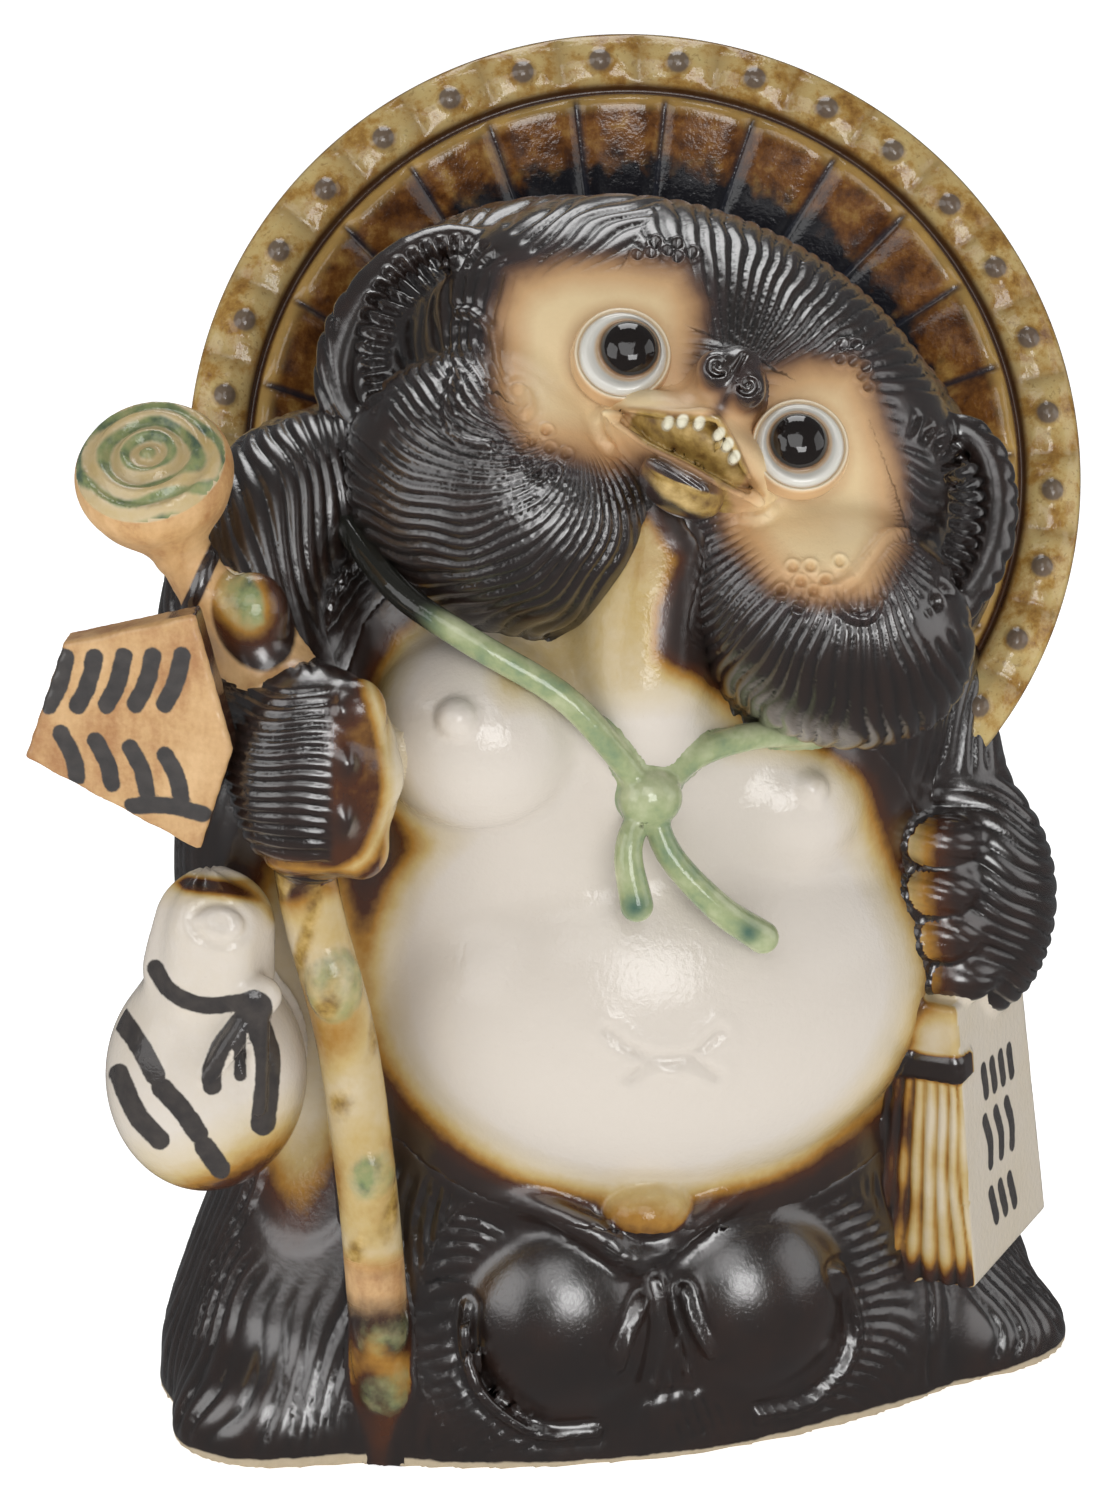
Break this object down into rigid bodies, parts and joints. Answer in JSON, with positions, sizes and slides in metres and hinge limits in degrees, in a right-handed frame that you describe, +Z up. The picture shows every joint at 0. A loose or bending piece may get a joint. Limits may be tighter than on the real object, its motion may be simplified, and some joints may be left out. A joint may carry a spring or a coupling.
{
  "type": "ceramic raccoon dog figurine",
  "caption": "Glazed stoneware raccoon dog standing with a straw hat behind its head, a staff, a tied bag and a bound book; rests on its flat underside.",
  "frame": {"origin": "middle of the figure's bounding box on plan, at the surface it stands on", "axes": "+Z up, the figure faces -Y, +X to the viewer's right when it is seen from the front"},
  "size_m": [0.2505, 0.1573, 0.293],
  "materials": {
    "fur_glaze": "glossy black-brown glaze",
    "cream_glaze": "glossy cream glaze with amber edges",
    "hat_glaze": "glossy mottled ochre and brown glaze",
    "staff_glaze": "satin amber glaze with green knots"
  },
  "bodies": {
    "root": {"tanuki_statue": "fur_glaze"}
  },
  "joints": []
}
